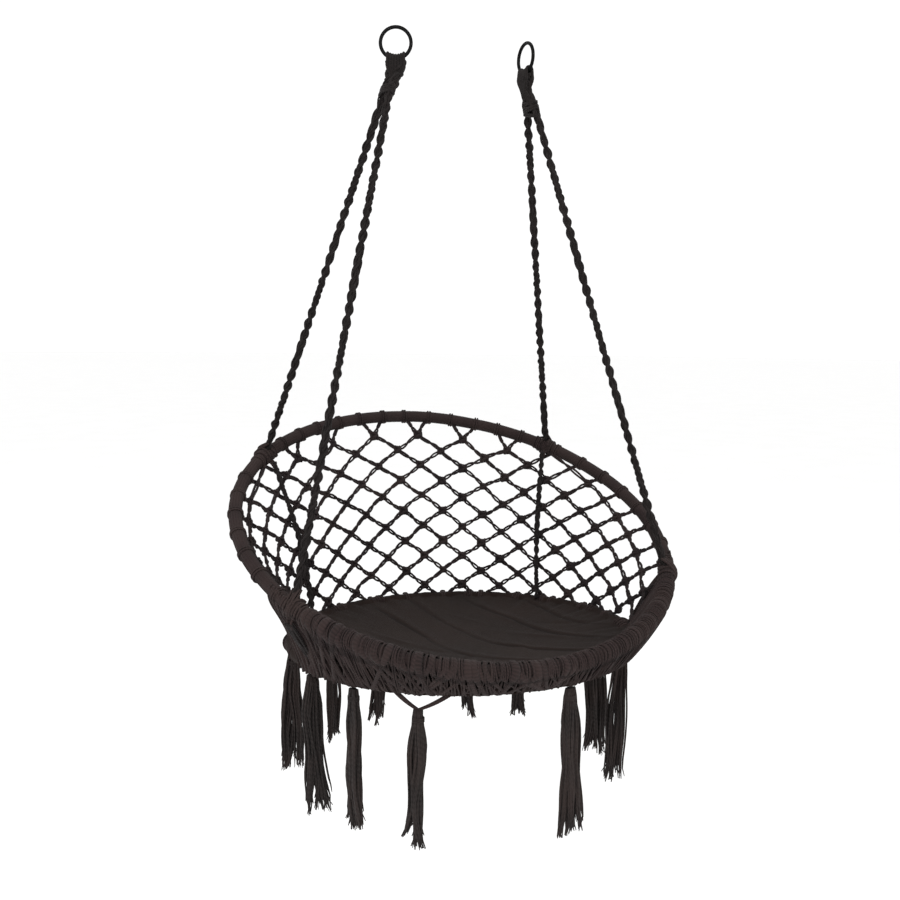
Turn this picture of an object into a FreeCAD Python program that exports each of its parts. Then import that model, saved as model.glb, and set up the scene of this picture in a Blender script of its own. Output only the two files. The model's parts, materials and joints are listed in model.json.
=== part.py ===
import FreeCAD, Part

import math
import os

Vector = FreeCAD.Vector
Rotation = FreeCAD.Rotation
Placement = FreeCAD.Placement

# A knotted hanging chair, in millimetres. The row frame has its origin at the hanging point, midway
# between the two hooks, where each ring's inner top rests; +Z is up and the sitter faces -Y.
# The chair frame, in which everything below the rings is laid out, has its origin at the centre of
# the seat hoop with that hoop level. The whole chair hangs leaning back by a small angle.

# name, value in mm or degrees, meaning
DIMENSIONS = [
    ("seat_radius", 300, "seat hoop, centreline"),
    ("back_radius", 389.4, "back hoop, centreline"),
    ("back_tilt", 27.4, "angle of the back hoop's plane to the seat hoop's"),
    ("back_forward", 17, "front of the back hoop ahead of the seat hoop's"),
    ("back_lift", 21, "front of the back hoop above the seat hoop's"),
    ("hoop_tube_radius", 8, "steel tube, outside"),
    ("hoop_bore_radius", 6.8, "steel tube, inside"),
    ("wrap_radius", 12, "cord wrap on both hoops, outside"),
    ("pivot_height", 970.5, "swing pivot above the seat hoop's plane"),
    ("pivot_forward", 19, "swing pivot ahead of the seat hoop's centre"),
    ("pivot_spread", 120, "each pivot from the middle plane"),
    ("pivot_drop", 70, "swing pivot below the hook"),
    ("ring_radius", 25.5, "hanging ring, centreline"),
    ("ring_wire", 3, "hanging ring, wire radius"),
    ("lean_back", 2.6, "angle by which the chair leans back"),
    ("rope_radius", 7, "suspension rope"),
    ("lower_rope_radius", 6, "rope from back hoop to seat hoop"),
    ("front_tie_angle", 60, "front ropes on the back hoop, from its front"),
    ("rear_tie_angle", 130, "rear ropes on the back hoop, from its front"),
    ("front_foot_angle", 72, "front ropes on the seat hoop, from its front"),
    ("rear_foot_angle", 125, "rear ropes on the seat hoop, from its front"),
    ("rope_meeting", 22, "where the lines of two ropes meet, above the pivot"),
    ("net_pitch", 28.5, "least distance between rows of knots, counted up from the seat hoop"),
    ("net_top_row", 38, "top row of knots at the rear, below the back hoop's centreline"),
    ("net_bow", 22, "how far the net curves inwards at the rear"),
    ("net_cord", 3, "net leg radius"),
    ("net_knot", 11, "net knot, across its flats"),
    ("net_knot_depth", 8, "net knot, through the net"),
    ("cloth_radius", 275, "seat cloth"),
    ("cloth_thickness", 6, "seat cloth"),
    ("cloth_sag", 24, "seat cloth's sag at the middle"),
    ("hem_radius", 4, "rolled hem of the seat cloth"),
]

RING_TURNS = {"left": -21.7, "right": -86.0}  # each ring's plane about the vertical, degrees
SIDES = {"left": -1, "right": 1}

# tassel: (angle on the seat hoop from its front towards +X, length, drop of its pivot)
TASSELS = {
    "rear_side_left": (-103, 228, 21),
    "front_side_left": (-77, 246, 21),
    "front_left": (-56.5, 237, 21),
    "front_middle": (-35, 228, 40),
    "front_right": (12, 245, 21),
    "front_side_right": (77, 285, 21),
    "rear_side_right": (99, 272, 21),
    "rear_right": (135, 240, 21),
    "rear_middle_right": (155, 240, 21),
    "rear_middle_left": (-168, 240, 21),
    "rear_left": (-145, 245, 21),
}

doc = FreeCAD.newDocument("hanging_net_chair")
sheet = doc.addObject("Spreadsheet::Sheet", "Dimensions")
for row, (alias, value, meaning) in enumerate(DIMENSIONS, 1):
    sheet.set(f"A{row}", meaning)
    sheet.set(f"B{row}", str(value))
    sheet.setAlias(f"B{row}", alias)
doc.recompute()

sub_parts = []


def size(alias):
    return float(sheet.get(alias))


def keep(feature, node, placement):
    """Makes a document object one of the chair's sub-parts."""
    feature.Label = node
    feature.Placement = placement
    sub_parts.append(feature)
    return feature


def plain(shape, node, placement):
    """A sub-part whose shape has no parametric feature that suits it."""
    feature = doc.addObject("Part::Feature", node)
    feature.Shape = shape
    return keep(feature, node, placement)


# ---------------------------------------------------------------- places

PIVOT = Vector(0, -size("pivot_forward"), size("pivot_height"))
LEAN = Rotation(Vector(1, 0, 0), -size("lean_back"))
CHAIR = Placement(Vector(0, 0, -size("pivot_drop")) - LEAN.multVec(PIVOT), LEAN)
TILT = math.radians(size("back_tilt"))


def seat_point(angle):
    turn, radius = math.radians(angle), size("seat_radius")
    return Vector(radius * math.sin(turn), -radius * math.cos(turn), 0)


def back_point(angle):
    turn, radius = math.radians(angle), size("back_radius")
    behind = radius * (1 - math.cos(turn))
    front = -size("seat_radius") - size("back_forward")
    return Vector(
        radius * math.sin(turn),
        front + behind * math.cos(TILT),
        size("back_lift") + behind * math.sin(TILT),
    )


def outward(angle):
    turn = math.radians(angle)
    return Vector(math.sin(turn), -math.cos(turn), 0)


def tangent(place, angle):
    """Unit tangent of a hoop, given its point function."""
    step = 0.05
    return (place(angle + step) - place(angle - step)).normalize()


def toward(start, end, distance):
    return start + (end - start).normalize() * distance


def net_depth(angle):
    return (seat_point(angle) - back_point(angle)).Length


def net_point(angle, depth):
    """A point of the net's surface, this far down from the back hoop's centreline."""
    whole = net_depth(angle)
    share = depth / whole
    bow = size("net_bow") * whole / net_depth(180) * 4 * share * (1 - share)
    flat = back_point(angle) * (1 - share) + seat_point(angle) * share
    return flat - outward(angle) * bow


# ---------------------------------------------------------------- shapes


def bar(start, end, radius):
    return Part.makeCylinder(radius, (end - start).Length, start, end - start)


def sleeve(place, angle, inner, outer, length):
    """A short straight sleeve round a hoop."""
    along = tangent(place, angle)
    start = place(angle) - along * (length / 2)
    solid = Part.makeCylinder(outer, length, start, along)
    return solid.cut(Part.makeCylinder(inner, length, start, along))


def cord_loop(place, angle, cord=2.0, gap=0.1):
    """One turn of cord round a hoop's wrap."""
    ring = size("wrap_radius") + gap + cord
    return Part.makeTorus(ring, cord, place(angle), tangent(place, angle))


def tube_along(points, radius):
    """A round tube along straight runs joined by tangent arcs. Prints the arcs' radii."""
    edges, at, arcs = [], points[0], []
    for before, corner, after in zip(points, points[1:], points[2:]):
        back, ahead = before - corner, after - corner
        half = back.getAngle(ahead) / 2
        cut = 0.45 * min(back.Length, ahead.Length)
        start, end = toward(corner, before, cut), toward(corner, after, cut)
        bend = cut * math.tan(half)
        middle = (start + end) * 0.5
        centre = toward(corner, middle, bend / math.sin(half))
        edges.append(Part.LineSegment(at, start).toShape())
        edges.append(Part.Arc(start, toward(centre, corner, bend), end).toShape())
        arcs.append(round(bend))
        at = end
    edges.append(Part.LineSegment(at, points[-1]).toShape())
    path = Part.Wire(edges)
    section = Part.Wire(Part.makeCircle(radius, points[0], points[1] - points[0]))
    solid = path.makePipeShell([section], True, True)
    expected = math.pi * radius**2 * path.Length
    print("tube", round(path.Length), "mm, arcs", arcs, "volume ratio", round(solid.Volume / expected, 4))
    return solid


def turned(node, profile):
    """A PartDesign body turned about Z from (radius, height) corners."""
    body = doc.addObject("PartDesign::Body", node)
    sketch = body.newObject("Sketcher::SketchObject", node + "_profile")
    planes = {f.Role: f for f in body.Origin.OriginFeatures}
    sketch.AttachmentSupport = [(planes["XZ_Plane"], "")]
    sketch.MapMode = "FlatFace"
    corners = [Vector(radius, height, 0) for radius, height in profile]
    for start, end in zip(corners, corners[1:] + corners[:1]):
        sketch.addGeometry(Part.LineSegment(start, end))
    revolution = body.newObject("PartDesign::Revolution", node + "_turn")
    revolution.Profile = sketch
    revolution.ReferenceAxis = (sketch, ["V_Axis"])
    revolution.Angle = 360
    body.Tip = revolution
    return body


def torus(name, major, minor, placement=Placement()):
    """A Part::Torus whose radii are bound to the sheet."""
    solid = doc.addObject("Part::Torus", name)
    solid.setExpression("Radius1", f"Dimensions.{major}")
    solid.setExpression("Radius2", f"Dimensions.{minor}")
    solid.Placement = placement
    return solid


def without(name, base, tool):
    result = doc.addObject("Part::Cut", name)
    result.Base = base
    result.Tool = tool
    return result


# ---------------------------------------------------------------- hanging rings and their cord loops

for side, sign in SIDES.items():
    centre = Vector(sign * size("pivot_spread"), 0, size("ring_wire") - size("ring_radius"))
    upright = Rotation(Vector(0, 0, 1), RING_TURNS[side]) * Rotation(Vector(1, 0, 0), 90)
    ring = torus(side + "_ring", "ring_radius", "ring_wire")
    keep(ring, side + "_hanging_ring", Placement(centre, upright))

    wire_bottom = centre - Vector(0, 0, size("ring_radius"))
    knot = turned(
        side + "_bulb",
        [(0, 7), (8, 6), (14, 1), (16, -5), (14, -12), (10.5, -17), (0, -17)],
    )
    hole = torus(side + "_wire", "ring_radius", "ring_wire")
    hole.Placement = Placement(Vector(0, 0, size("ring_radius")), upright)
    around_wire = without(side + "_bulb_on_wire", knot, hole)
    socket = doc.addObject("Part::Sphere", side + "_socket")
    socket.Radius = 9.2
    pivot_below = size("pivot_drop") + wire_bottom.z
    socket.Placement = Placement(Vector(0, 0, -pivot_below), Rotation())
    loops = without(side + "_loops", around_wire, socket)
    keep(loops, side + "_ring_loops", Placement(wire_bottom, Rotation()))


# ---------------------------------------------------------------- necks and ropes

NECK_RADIUS = 8.5
NECK_LENGTH = 34
NECK_ROOM = 8.5  # of the binding past each rope's centreline
NECK_WIDTH = 19
ROPE_START = 30  # below the pivot, inside the neck
STOP_AT_HOOP = 15  # from the hoop's centreline, inside the tie

for side, sign in SIDES.items():
    pivot = PIVOT + Vector(sign * size("pivot_spread"), 0, 0)
    meeting = pivot + Vector(0, 0, size("rope_meeting"))

    def rope_at(drop, tie):
        """A point of a rope's line, this far below the pivot."""
        on_hoop = back_point(sign * size(tie))
        share = (size("rope_meeting") + drop) / (meeting.z - on_hoop.z)
        return meeting + (on_hoop - meeting) * share

    front_end, rear_end = (rope_at(NECK_LENGTH, tie + "_tie_angle") for tie in ("front", "rear"))
    between = rear_end - front_end
    middle = (front_end + rear_end) * 0.5
    oval = Part.makeCircle(1, Vector())
    stretch = FreeCAD.Matrix()
    stretch.scale(between.Length / 2 + NECK_ROOM, NECK_WIDTH / 2, 1)
    oval = oval.transformGeometry(stretch)
    oval.Placement = Placement(middle, Rotation(Vector(1, 0, 0), Vector(between.x, between.y, 0)))
    top = Part.Wire(Part.makeCircle(NECK_RADIUS, pivot))
    taper = Part.makeLoft([top, Part.Wire(oval)], True)
    neck = taper.fuse(Part.makeSphere(NECK_RADIUS, pivot)).removeSplitter()
    plain(neck, side + "_neck_binding", CHAIR)

    for end, tie in (("front", "front_tie_angle"), ("rear", "rear_tie_angle")):
        on_hoop = back_point(sign * size(tie))
        start = rope_at(ROPE_START, tie)
        stop = toward(on_hoop, meeting, STOP_AT_HOOP)
        rope = doc.addObject("Part::Cylinder", f"{end}_{side}_rope")
        rope.setExpression("Radius", "Dimensions.rope_radius")
        rope.Height = (stop - start).Length
        lay = Placement(start, Rotation(Vector(0, 0, 1), stop - start))
        keep(rope, f"rope_{end}_{side}", CHAIR * lay)
        tied = sleeve(back_point, sign * size(tie), 12.4, 17, 30)
        plain(tied, f"tie_{end}_{side}", CHAIR)


# ---------------------------------------------------------------- lower rope runs

TIE_STANDOFF = 27  # of a rope's end from the back hoop's centreline
FOOT_STANDOFF = 22  # of a rope's end from the seat hoop's centreline
UP = Vector(0, 0, 1)

for side, sign in SIDES.items():
    angle, foot = sign * size("front_tie_angle"), sign * size("front_foot_angle")
    start = back_point(angle) + (outward(angle) * 0.5 - UP).normalize() * TIE_STANDOFF
    stop = seat_point(foot) + (outward(foot) + UP * 0.9).normalize() * FOOT_STANDOFF
    plain(bar(start, stop, size("lower_rope_radius")), f"lower_rope_front_{side}", CHAIR)

    angle, foot = sign * size("rear_tie_angle"), sign * size("rear_foot_angle")
    start = back_point(angle) - (outward(angle) * 0.9 + UP * 0.6).normalize() * FOOT_STANDOFF
    stop = seat_point(foot) + (UP * 0.8 - outward(foot)).normalize() * FOOT_STANDOFF
    middle = [
        net_point(angle + (foot - angle) * share, share * net_depth(angle))
        - outward(angle) * 17
        for share in (0.36, 0.68)
    ]
    route = [start, *middle, stop]
    plain(tube_along(route, size("lower_rope_radius")), f"lower_rope_rear_{side}", CHAIR)

for side, sign in SIDES.items():
    for end in ("front", "rear"):
        foot = sign * size(end + "_foot_angle")
        plain(sleeve(seat_point, foot, 12.5, 14.8, 17), f"foot_tie_{end}_{side}", CHAIR)


# ---------------------------------------------------------------- hoops

BACK_CENTRE = (back_point(0) + back_point(180)) * 0.5
BACK_HOOP = Placement(BACK_CENTRE, Rotation(Vector(1, 0, 0), size("back_tilt")))

for hoop, radius, place in (
    ("back", "back_radius", BACK_HOOP),
    ("seat", "seat_radius", Placement()),
):
    steel = torus(hoop + "_tube_outside", radius, "hoop_tube_radius", place)
    bore = torus(hoop + "_tube_bore", radius, "hoop_bore_radius", place)
    keep(without(hoop + "_tube", steel, bore), hoop + "_hoop_tube", CHAIR)
    cord = torus(hoop + "_wrap_outside", radius, "wrap_radius", place)
    core = torus(hoop + "_wrap_bore", radius, "hoop_tube_radius", place)
    keep(without(hoop + "_wrap", cord, core), hoop + "_hoop_wrap", CHAIR)


# ---------------------------------------------------------------- net

COLUMN = 7.5  # degrees between neighbouring columns of knots, which alternate by row
LAST_COLUMN = 16
TOP_ROW = 11  # reached at the rear only
KNOT_ROOM = 26  # of a knot from the back hoop's centreline, at least
START_SPREAD = 4.0  # degrees from a top row knot to each of the two loops it hangs from
LEG_STANDOFF = 17.6  # of a leg's end from a hoop's centreline
TIE_ROOM = 23.5  # the same beside a rope's tie
LEG_START = 4.5  # of a leg from the middle of its knot, inside the knot
KNOT_GAP = 1.2  # between a knot and a leg of the next panel
PANELS = 8


def column_angle(column):
    return 180 + COLUMN * column


def row_depth(row, angle):
    """Depth of a row of knots below the back hoop: rows are level, and closer at the sides."""
    whole = net_depth(angle)
    pitch = max(size("net_pitch"), (whole - size("net_top_row")) / TOP_ROW)
    return whole - row * pitch


def knot_block(angle, depth):
    """A square knot: a block whose four faces meet the four legs."""
    middle = net_point(angle, depth)
    along = (net_point(angle + 0.5, depth) - net_point(angle - 0.5, depth)).normalize()
    down = (net_point(angle, depth + 1) - net_point(angle, depth - 1)).normalize()
    through = along.cross(down).normalize()
    wide, deep = size("net_knot"), size("net_knot_depth")
    block = Part.makeBox(wide, wide, deep, Vector(-wide / 2, -wide / 2, -deep / 2))
    block.Placement = Placement(middle, Rotation(along + down, down - along, through, "ZXY"))
    return block


def has_knot(row, column):
    """Rows 1, 3, 5... have knots on odd columns and rows 2, 4, 6... on even ones."""
    if not 1 <= row <= TOP_ROW or abs(column) > LAST_COLUMN or (row + column) % 2:
        return False
    return row_depth(row, column_angle(column)) > KNOT_ROOM


def hitch_angle(row, column, way):
    """Where, on the back hoop, a leg that goes up from a knot ends."""
    angle = column_angle(column)
    if row == TOP_ROW:
        return angle + way * START_SPREAD
    share = 0.0
    while row_depth(row + share, angle + way * COLUMN * share) > 0:
        share += 0.02
    return angle + way * COLUMN * share


def panel_of(angle):
    return min(PANELS - 1, int((angle - 60) / (240 / PANELS)))


def off_hoop(place, start, knot, room):
    """The point, on the way from a hoop to a knot, that is this far from the hoop's centreline."""
    centre = (place(0) + place(180)) * 0.5
    normal = (place(0) - centre).cross(place(90) - centre).normalize()
    radius = (place(0) - centre).Length

    def distance(point):
        height = (point - centre).dot(normal)
        flat = (point - centre - normal * height).Length - radius
        return math.hypot(flat, height)

    travel = 0.0
    while distance(toward(start, knot, travel)) < room:
        travel += 0.25
    return toward(start, knot, travel)


def net_is_clear(angle, ties, room):
    return all(abs((angle - tie + 180) % 360 - 180) > room for tie in ties)


hoop_ties = [sign * size(tie) for sign in (-1, 1) for tie in ("front_tie_angle", "rear_tie_angle")]
foot_ties = [sign * size(tie) for sign in (-1, 1) for tie in ("front_foot_angle", "rear_foot_angle")]
tassel_angles = [angle for angle, _, _ in TASSELS.values()]

def leg_to_hoop(place, angle, knot, ties):
    """A leg from a knot to the loop that holds it on a hoop."""
    room = LEG_STANDOFF if net_is_clear(angle, ties, 4) else TIE_ROOM
    end = off_hoop(place, place(angle), knot, room)
    return bar(toward(knot, end, LEG_START), end, size("net_cord"))


panels = [[] for _ in range(PANELS)]
hitch_angles, foot_angles = set(), set()
for column in range(-LAST_COLUMN, LAST_COLUMN + 1):
    angle = column_angle(column)
    panel = panels[panel_of(angle)]
    for row in range(1, TOP_ROW + 1):
        if not has_knot(row, column):
            continue
        knot = net_point(angle, row_depth(row, angle))
        panel.append(knot_block(angle, row_depth(row, angle)))
        for other in (column - 1, column + 1):
            if abs(other) > LAST_COLUMN:
                continue
            beside = column_angle(other)
            if row == 1 and net_is_clear(beside, foot_ties, 4):
                panel.append(leg_to_hoop(seat_point, beside, knot, foot_ties))
                foot_angles.add(beside)
            if not has_knot(row + 1, other):
                begin = hitch_angle(row, column, other - column)
                panel.append(leg_to_hoop(back_point, begin, knot, hoop_ties))
                hitch_angles.add(begin)
                continue
            upper = net_point(beside, row_depth(row + 1, beside))
            inside = LEG_START
            if panel_of(beside) != panel_of(angle):
                inside = size("net_knot") / math.sqrt(2) + KNOT_GAP
            stop = toward(upper, knot, inside)
            panel.append(bar(toward(knot, upper, LEG_START), stop, size("net_cord")))

for number, pieces in enumerate(panels, 1):
    net = pieces[0].multiFuse(pieces[1:])
    plain(net.Solids[0] if len(net.Solids) == 1 else net, f"net_panel_{number}", CHAIR)
    print("net panel", number, "pieces", len(pieces), "solids", len(net.Solids))

hitch_loops = [
    cord_loop(back_point, angle)
    for angle in sorted(hitch_angles)
    if net_is_clear(angle, hoop_ties, 3)
]
plain(Part.makeCompound(hitch_loops), "back_hoop_loops", CHAIR)
foot_loops = [
    cord_loop(seat_point, angle)
    for angle in sorted(foot_angles)
    if net_is_clear(angle, foot_ties, 3) and net_is_clear(angle, tassel_angles, 2.4)
]
plain(Part.makeCompound(foot_loops), "seat_hoop_loops", CHAIR)


# ---------------------------------------------------------------- front lashing

SWAG_FEET = (-43, -25)  # where the middle tassel's two cords leave the seat hoop
LASH_SPAN = 54  # degrees each side of the front
LASH_STEP = 4
LASH_RADIUS = 15.2
LASH_CORD = 1.5


def nearest_seat_angle(angle):
    """The seat hoop's angle nearest a point of the back hoop."""
    high = back_point(angle)
    return math.degrees(math.atan2(high.x, -high.y))


def lash_turn(angle):
    """One turn of cord round both hoops."""
    below = nearest_seat_angle(angle)
    high, low = back_point(angle), seat_point(below)
    up = (high - low).normalize()
    along = tangent(back_point, angle) + tangent(seat_point, below)
    along = (along - up * along.dot(up)).normalize()
    side = along.cross(up).normalize() * LASH_RADIUS
    up = up * LASH_RADIUS
    path = Part.Wire(
        [
            Part.LineSegment(low + side, high + side).toShape(),
            Part.Arc(high + side, high + up, high - side).toShape(),
            Part.LineSegment(high - side, low - side).toShape(),
            Part.Arc(low - side, low - up, low + side).toShape(),
        ]
    )
    section = Part.Wire(Part.makeCircle(LASH_CORD, low + side, high - low))
    return path.makePipeShell([section], True, True)


turns = [
    lash_turn(angle)
    for angle in range(-LASH_SPAN, LASH_SPAN + 1, LASH_STEP)
    if net_is_clear(nearest_seat_angle(angle), tassel_angles + list(SWAG_FEET), 2.6)
]
plain(Part.makeCompound(turns), "front_lashing", CHAIR)


# ---------------------------------------------------------------- seat cloth

cloth_edge = size("cloth_radius")
sag = size("cloth_sag")
thick = size("cloth_thickness")
EDGE_HEIGHT = 2.0
SAG_STEPS = 8
upper = [
    (cloth_edge * step / SAG_STEPS, EDGE_HEIGHT + thick - sag * (1 - (step / SAG_STEPS) ** 2))
    for step in range(SAG_STEPS + 1)
]
lower = [(radius, height - thick) for radius, height in reversed(upper)]
keep(turned("cloth", upper + lower), "seat_cloth", CHAIR)

hem = doc.addObject("Part::Torus", "hem")
hem.setExpression("Radius1", "Dimensions.cloth_radius + Dimensions.hem_radius + 0.2")
hem.setExpression("Radius2", "Dimensions.hem_radius")
HEM_UP = Vector(0, 0, EDGE_HEIGHT + thick / 2)
keep(hem, "seat_hem", CHAIR * Placement(HEM_UP, Rotation()))


# ---------------------------------------------------------------- tassels

TIE_WIDTH = 16
SWAG_CORD = 3
SWAG_STANDOFF = 16

ties = [sleeve(seat_point, angle, 12.3, 13.8, TIE_WIDTH) for angle in tassel_angles]
plain(Part.makeCompound(ties), "tassel_ties", CHAIR)

for name, (angle, length, drop) in TASSELS.items():
    profile = [(0, 4.5), (3.2, 3.2), (4.5, 0), (4.5, -10), (9, -16), (9, -30), (7.5, -36)]
    profile += [(11, -70), (13, -length), (0, -length)]
    hang = Placement(seat_point(angle) - UP * drop, Rotation(UP, angle))
    upright = CHAIR * hang
    upright = Placement(upright.Base, Rotation(UP, angle))
    keep(turned("tassel_" + name + "_body", profile), "tassel_" + name, upright)

middle_angle, _, middle_drop = TASSELS["front_middle"]
knot = seat_point(middle_angle) - UP * middle_drop
swag = []
for foot in SWAG_FEET:
    start = off_hoop(seat_point, seat_point(foot), knot, SWAG_STANDOFF)
    swag.append(bar(start, toward(knot, start, 7.5), SWAG_CORD))
plain(Part.makeCompound(swag), "swag_cords", CHAIR)


# ---------------------------------------------------------------- check and write

doc.recompute()
faults = [o.Name for o in doc.Objects if "Invalid" in o.State or "Error" in o.State]
for part in sub_parts:
    if part.Shape.isNull() or not part.Shape.isValid():
        faults.append(part.Label)
if faults:
    raise SystemExit(f"not built: {faults}")

os.makedirs("parts", exist_ok=True)
for part in sub_parts:
    part.Shape.exportStep(f"parts/{part.Label}.step")
print(len(sub_parts), "sub-parts")
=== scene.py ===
"""A knotted hanging chair in dark cotton: two rings, four plaited ropes, a tilted back hoop and a
seat hoop joined by a net, a stretched seat cloth, a lashed front and a fringe of tassels.

Everything is in metres in the row frame: the origin is the hanging point, +Z is up and the sitter
faces -Y. Angles round a hoop are in degrees from its front towards +X.
"""

import json
import math

import bpy
import numpy as np
from mathutils import Matrix, Vector

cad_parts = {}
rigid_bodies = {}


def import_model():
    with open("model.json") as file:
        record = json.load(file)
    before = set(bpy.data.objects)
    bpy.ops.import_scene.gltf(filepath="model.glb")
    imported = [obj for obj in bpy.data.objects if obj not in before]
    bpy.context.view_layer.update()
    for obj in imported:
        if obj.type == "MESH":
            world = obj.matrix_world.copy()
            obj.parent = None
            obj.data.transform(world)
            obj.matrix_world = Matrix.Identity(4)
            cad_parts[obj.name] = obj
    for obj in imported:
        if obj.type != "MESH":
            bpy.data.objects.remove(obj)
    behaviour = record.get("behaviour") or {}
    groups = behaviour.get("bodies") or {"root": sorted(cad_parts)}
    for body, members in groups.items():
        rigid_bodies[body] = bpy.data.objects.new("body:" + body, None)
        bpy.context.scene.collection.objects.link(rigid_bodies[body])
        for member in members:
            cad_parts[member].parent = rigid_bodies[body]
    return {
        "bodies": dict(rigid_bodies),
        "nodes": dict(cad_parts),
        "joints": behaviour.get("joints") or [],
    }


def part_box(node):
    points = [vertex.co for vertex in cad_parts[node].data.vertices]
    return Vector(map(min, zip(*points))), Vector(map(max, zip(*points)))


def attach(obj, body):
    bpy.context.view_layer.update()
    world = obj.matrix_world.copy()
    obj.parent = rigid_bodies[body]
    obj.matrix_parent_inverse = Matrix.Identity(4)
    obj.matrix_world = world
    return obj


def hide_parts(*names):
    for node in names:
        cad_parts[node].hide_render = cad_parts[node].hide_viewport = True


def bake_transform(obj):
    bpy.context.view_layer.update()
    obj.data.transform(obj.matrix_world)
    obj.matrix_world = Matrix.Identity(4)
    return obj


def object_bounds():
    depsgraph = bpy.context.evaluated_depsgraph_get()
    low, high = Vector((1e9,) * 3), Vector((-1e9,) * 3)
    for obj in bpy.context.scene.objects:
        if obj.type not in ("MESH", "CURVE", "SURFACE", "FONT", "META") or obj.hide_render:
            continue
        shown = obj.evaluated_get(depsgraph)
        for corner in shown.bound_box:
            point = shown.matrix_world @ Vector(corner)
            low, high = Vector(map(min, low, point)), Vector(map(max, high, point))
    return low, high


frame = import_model()
cad_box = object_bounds()
rng = np.random.default_rng(11)

MM = 0.001
UP = np.array([0.0, 0.0, 1.0])
SIDES = {"left": -1, "right": 1}


# ---- measuring the frame


def unit(vector):
    vector = np.asarray(vector, float)
    return vector / np.linalg.norm(vector)


def full_turn(number):
    """This many angles, evenly round a circle."""
    return np.linspace(0, 2 * math.pi, number, endpoint=False)


def steps_of(line):
    return np.linalg.norm(np.diff(line, axis=0), axis=1)


def travel_along(line):
    """How far along a line each of its points is."""
    return np.concatenate([[0], np.cumsum(steps_of(line))])


def square_to(ahead, reference):
    """Side and front directions square to a line's steps, with the side near this reference."""
    ahead = ahead / np.linalg.norm(ahead, axis=1)[:, None]
    reference = np.broadcast_to(np.asarray(reference, float), ahead.shape)
    side = reference - (reference * ahead).sum(1)[:, None] * ahead
    side = side / np.linalg.norm(side, axis=1)[:, None]
    return side, np.cross(ahead, side)


def add_object(name, data):
    thing = bpy.data.objects.new(name, data)
    bpy.context.scene.collection.objects.link(thing)
    return thing


def vertices_of(node):
    mesh = frame["nodes"][node].data
    points = np.empty(len(mesh.vertices) * 3)
    mesh.vertices.foreach_get("co", points)
    return points.reshape(-1, 3)


class Hoop:
    """The circle down the middle of a round CAD hoop or ring."""

    def __init__(self, node):
        points = vertices_of(node)
        self.centre = (points.min(0) + points.max(0)) / 2
        self.normal = np.linalg.svd(points - self.centre, full_matrices=False)[2][2]
        self.normal = self.normal * (1 if self.normal[2] > 0 else -1)
        self.across = unit(np.cross(np.cross(self.normal, [1.0, 0.0, 0.0]), self.normal))
        self.front = np.cross(self.across, self.normal)
        flat = points - self.centre
        flat = flat - np.outer(flat @ self.normal, self.normal)
        spread = np.linalg.norm(flat, axis=1)
        self.radius = (spread.min() + spread.max()) / 2
        self.tube = (spread.max() - spread.min()) / 2

    def outward(self, angle):
        turn = math.radians(angle)
        return math.sin(turn) * self.across + math.cos(turn) * self.front

    def tangent(self, angle):
        turn = math.radians(angle)
        return math.cos(turn) * self.across - math.sin(turn) * self.front

    def at(self, angle, out=0.0, up=0.0):
        return self.centre + (self.radius + out) * self.outward(angle) + up * self.normal

    def beside(self, angle, room, turn):
        """A point this far from the hoop's centreline: turn 0 is outward, 90 along the normal."""
        turn = math.radians(turn)
        return self.at(angle, room * math.cos(turn), room * math.sin(turn))


def ends_of(node):
    """The two ends of a straight CAD rod's axis, the upper one first."""
    points = vertices_of(node)
    middle = points.mean(0)
    axis = np.linalg.svd(points - middle, full_matrices=False)[2][0]
    axis = axis * (1 if axis[2] > 0 else -1)
    along = (points - middle) @ axis
    upper, lower = points[along > 0], points[along < 0]
    return upper.mean(0), lower.mean(0)


SEAT = Hoop("seat_hoop_wrap")
BACK = Hoop("back_hoop_wrap")
SEAT_UP = SEAT.normal
CLOTH_WRAP = 1.9 * MM  # of the cloth drawn over the seat hoop, past its winding
SEAT_ROOM = SEAT.tube + CLOTH_WRAP


# ---- strands


class Strands:
    """Collects round strands, which become one mesh with their lay and shade as attributes."""

    def __init__(self):
        self.points, self.lay, self.tone, self.faces = [], [], [], []
        self.count = 0

    def add(self, path, radius, sides=6, closed=False, across=None, flat=1.0):
        """A strand down a path. flat is its thickness over its width, which lies along across."""
        path = np.asarray(path, float)
        number = len(path)
        if closed:
            ahead = np.roll(path, -1, 0) - np.roll(path, 1, 0)
        else:
            ahead = np.gradient(path, axis=0)
        if across is None:
            across = np.linalg.svd(path - path.mean(0), full_matrices=False)[2][2]
        wide, thick = square_to(ahead, across)
        turn = full_turn(sides)
        reach = np.broadcast_to(radius, (number,))[:, None, None]
        cosine, sine = np.cos(turn)[None, :, None], np.sin(turn)[None, :, None]
        skin = path[:, None] + reach * (cosine * wide[:, None] + sine * thick[:, None] * flat)
        along = travel_along(path)[:, None] + rng.uniform(0, 0.1)
        lay = np.stack(np.broadcast_arrays(along, np.cos(turn), np.sin(turn)), axis=2)
        index = self.count + np.arange(number * sides).reshape(number, sides)
        beside = np.roll(index, -1, 1)
        if closed:
            low, low_beside = index, beside
            high, high_beside = np.roll(index, -1, 0), np.roll(beside, -1, 0)
        else:
            low, low_beside, high, high_beside = index[:-1], beside[:-1], index[1:], beside[1:]
        quads = np.stack([low, low_beside, high_beside, high], axis=2).reshape(-1, 4)
        self.faces.extend(quads.tolist())
        if not closed:
            self.faces.extend([index[0][::-1].tolist(), index[-1].tolist()])
        self.points.append(skin.reshape(-1, 3))
        self.lay.append(lay.reshape(-1, 3))
        self.tone.append(np.full(number * sides, rng.uniform(0, 1)))
        self.count += number * sides

    def piece(self, name, material, slot):
        points, lay, tone = map(np.concatenate, (self.points, self.lay, self.tone))
        return make_piece(name, points, self.faces, material, lay, tone)


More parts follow.
